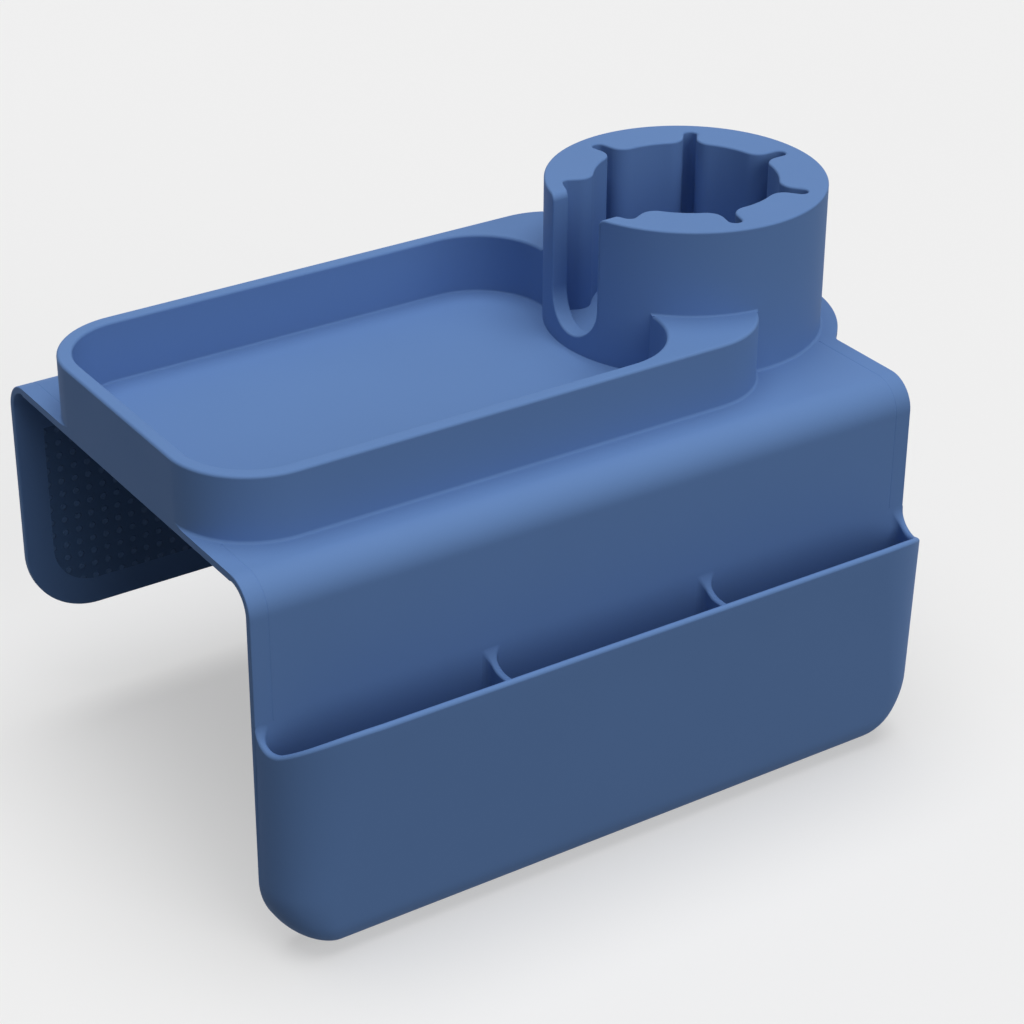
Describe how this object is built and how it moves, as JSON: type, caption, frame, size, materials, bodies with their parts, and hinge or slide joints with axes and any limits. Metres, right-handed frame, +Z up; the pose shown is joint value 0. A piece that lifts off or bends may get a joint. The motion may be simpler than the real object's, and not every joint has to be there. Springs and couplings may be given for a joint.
{
  "type": "sofa arm tray",
  "caption": "Soft saddle that drapes over a sofa arm, with a rimmed tray, a slotted cup ring with gripping lobes, and a front pouch parted by low dividers.",
  "frame": {"origin": "centre of the deck's underside, the face that rests on the sofa arm", "axes": "+X along the arm towards the cup ring, +Y across the arm away from the pockets, +Z up"},
  "size_m": [0.3233, 0.2308, 0.2188],
  "materials": {
    "silicone_blue": "matte, very smooth moulded silicone",
    "silicone_liner": "matte, tacky",
    "weight_steel": "plain rolled, sealed inside"
  },
  "bodies": {
    "saddle": {"deck_sheet": "silicone_blue", "deck_liner": "silicone_liner", "tray_basin": "silicone_blue", "cup_ring": "silicone_blue", "cup_floor": "silicone_blue", "grip_1": "silicone_blue", "grip_2": "silicone_blue", "grip_3": "silicone_blue", "grip_4": "silicone_blue", "grip_5": "silicone_blue", "grip_6": "silicone_blue", "front_bend": "silicone_blue", "rear_bend": "silicone_blue"},
    "pocket_side": {"front_flap": "silicone_blue", "front_liner": "silicone_liner", "pocket_pouch": "silicone_blue", "divider_left": "silicone_blue", "divider_right": "silicone_blue"},
    "rear_side": {"rear_flap": "silicone_blue", "rear_liner": "silicone_liner", "rear_weight": "weight_steel"}
  },
  "joints": [
    {"name": "front_bend_hinge", "type": "hinge", "parent": "saddle", "child": "pocket_side", "pos_m": [0, -0.09553, -0.00097], "axis": [-1, 0, 0], "range_deg": [-20, 90], "stiffness_Nm_per_rad": 0.3, "springref_deg": 6.99, "deforming": ["front_bend"]},
    {"name": "rear_bend_hinge", "type": "hinge", "parent": "saddle", "child": "rear_side", "pos_m": [0, 0.09553, -0.00097], "axis": [1, 0, 0], "range_deg": [-20, 90], "stiffness_Nm_per_rad": 0.3, "springref_deg": 1.04, "deforming": ["rear_bend"]}
  ]
}
